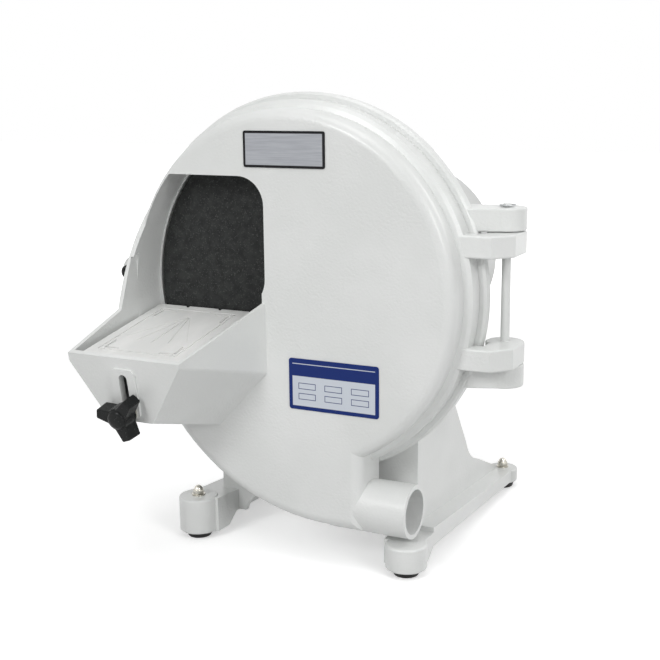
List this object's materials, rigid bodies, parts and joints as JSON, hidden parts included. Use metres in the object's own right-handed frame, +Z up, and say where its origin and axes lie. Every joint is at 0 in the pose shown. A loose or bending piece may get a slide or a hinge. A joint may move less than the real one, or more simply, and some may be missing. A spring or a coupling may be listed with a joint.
{
  "type": "dental model trimmer",
  "caption": "Bench dental model trimmer: motor-driven abrasive disc in a round hinged housing, tilting model table with clamp knob, side dust outlet and four-footed pedestal.",
  "frame": {"origin": "centre of the four foot positions, on the bench", "axes": "+X to the machine's right and along the dust outlet, -Y out of the front of the cover, +Z up"},
  "size_m": [0.391, 0.4102, 0.425],
  "materials": {
    "painted_casting": "white hammered stove enamel",
    "rubber": "matt black",
    "zinc": "bright zinc plate",
    "steel": "ground steel",
    "cast_alloy": "as cast, machined faces",
    "grit": "black abrasive grit",
    "plate_metal": "brushed, blank",
    "blue_label": "printed colour panel, no text",
    "black_plastic": "glossy black moulding",
    "motor_paint": "white enamel",
    "iron": "laminated iron",
    "table_metal": "white enamel with engraved lines",
    "seal": "soft grey"
  },
  "bodies": {
    "machine": {"base_casting": "painted_casting", "rubber_feet": "rubber", "foot_bolts": "zinc", "foot_washers": "zinc", "acorn_nuts": "zinc", "rear_housing": "painted_casting", "housing_bolts": "zinc", "hinge_pin": "painted_casting", "hinge_clips": "steel", "motor_front_bell": "motor_paint", "motor_shell": "motor_paint", "motor_rear_bell": "motor_paint", "front_bearing": "steel", "rear_bearing": "steel", "motor_stator": "iron", "fan_cowl": "motor_paint", "motor_bolts": "zinc", "conduit_box": "motor_paint", "switch_body": "black_plastic", "cord_gland": "black_plastic", "box_screws": "zinc"},
    "rotor": {"motor_shaft": "steel", "motor_rotor": "iron", "cooling_fan": "black_plastic", "disc_hub": "steel", "disc_plate": "cast_alloy", "grit_disc": "grit", "hub_screws": "steel", "disc_centre_screw": "zinc"},
    "cover": {"front_cover": "painted_casting", "cover_seal": "seal", "name_plate": "plate_metal", "rating_plate": "blue_label", "table_pivot_pin": "steel"},
    "latch": {"latch_spindle": "zinc", "latch_knob": "black_plastic"},
    "table": {"model_table": "table_metal", "table_bracket": "steel", "bracket_screws": "zinc", "clamp_stud": "zinc", "clamp_washer": "zinc"},
    "table_knob": {"clamp_knob": "black_plastic"},
    "switch": {"switch_lever": "zinc"}
  },
  "joints": [
    {"name": "cover_swing", "type": "hinge", "parent": "machine", "child": "cover", "pos_m": [0.182, -0.084, 0.25], "axis": [0, 0, 1], "range_deg": [0, 110]},
    {"name": "disc_spin", "type": "hinge", "parent": "machine", "child": "rotor", "pos_m": [0, -0.1, 0.251], "axis": [0, 1, 0], "continuous": true},
    {"name": "table_tilt", "type": "hinge", "parent": "cover", "child": "table", "pos_m": [-0.104, -0.12413, 0.21092], "axis": [-1, 0, 0], "range_deg": [0, 10.5]},
    {"name": "table_knob_turn", "type": "hinge", "parent": "table", "child": "table_knob", "pos_m": [-0.1095, -0.24423, 0.15104], "axis": [0, -0.9833, -0.1822], "continuous": true},
    {"name": "latch_turn", "type": "hinge", "parent": "cover", "child": "latch", "pos_m": [-0.178, -0.12, 0.257], "axis": [0, 1, 0], "range_deg": [0, 90]},
    {"name": "switch_throw", "type": "hinge", "parent": "machine", "child": "switch", "pos_m": [-0.1174, 0.002, 0.257], "axis": [0, 1, 0], "range_deg": [-28, 0]}
  ]
}
